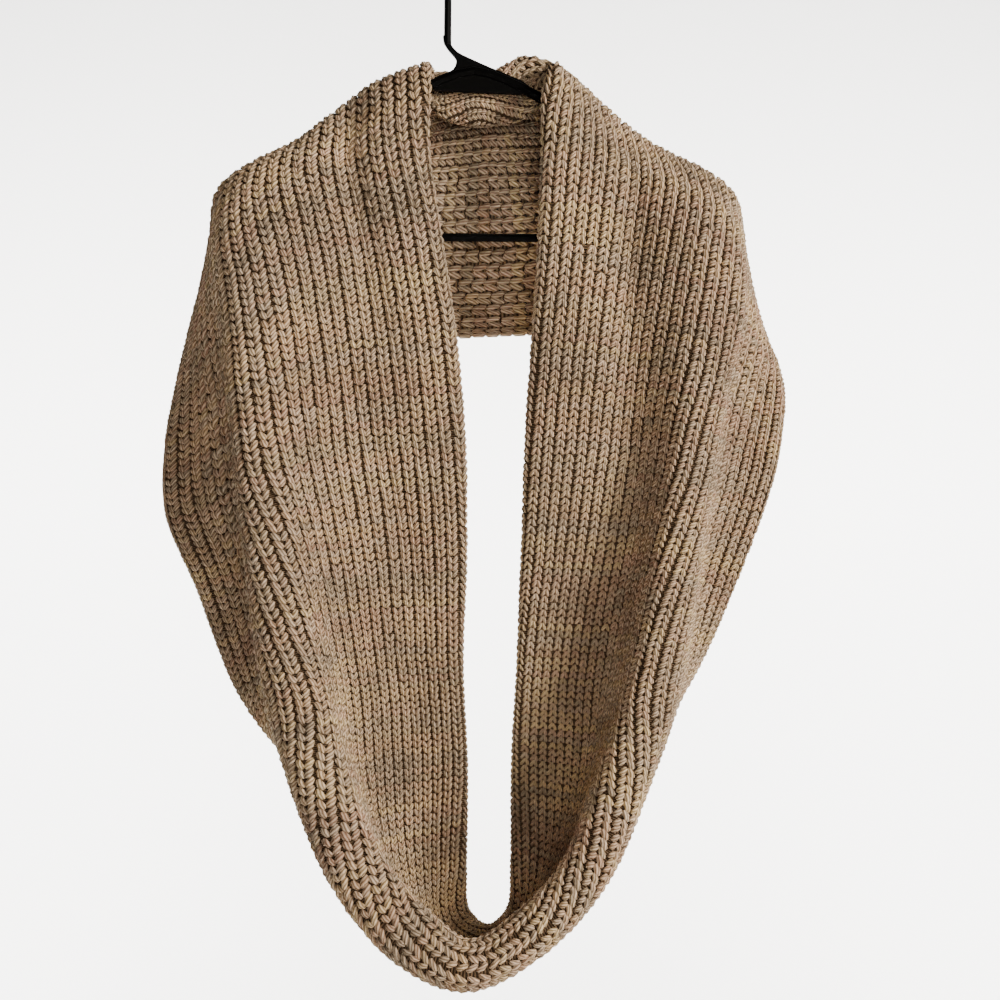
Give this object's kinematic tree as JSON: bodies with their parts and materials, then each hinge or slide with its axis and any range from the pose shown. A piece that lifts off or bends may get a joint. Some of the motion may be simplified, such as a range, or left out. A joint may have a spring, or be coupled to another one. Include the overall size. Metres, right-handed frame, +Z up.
{
  "type": "infinity scarf on a clothes hanger",
  "caption": "Wide closed-loop scarf in chunky rib knit, draped over the shoulders of a moulded hanger with rolled collar and folded lower rim",
  "frame": {"origin": "the point inside the top of the hook where the hook bears on a rail", "axes": "+Z up, +X to the viewer's right seen from the front, +Y away from the viewer; the open front of the scarf faces -Y"},
  "size_m": [0.5204, 0.1266, 0.8667],
  "materials": {
    "knit": "heathered oatmeal wool-blend yarn, matt with a light fuzz",
    "hanger_plastic": "satin black moulded plastic"
  },
  "bodies": {
    "root": {"scarf_left_front": "knit", "scarf_back": "knit", "scarf_right_front": "knit", "scarf_bottom": "knit", "hanger": "hanger_plastic"}
  },
  "joints": []
}
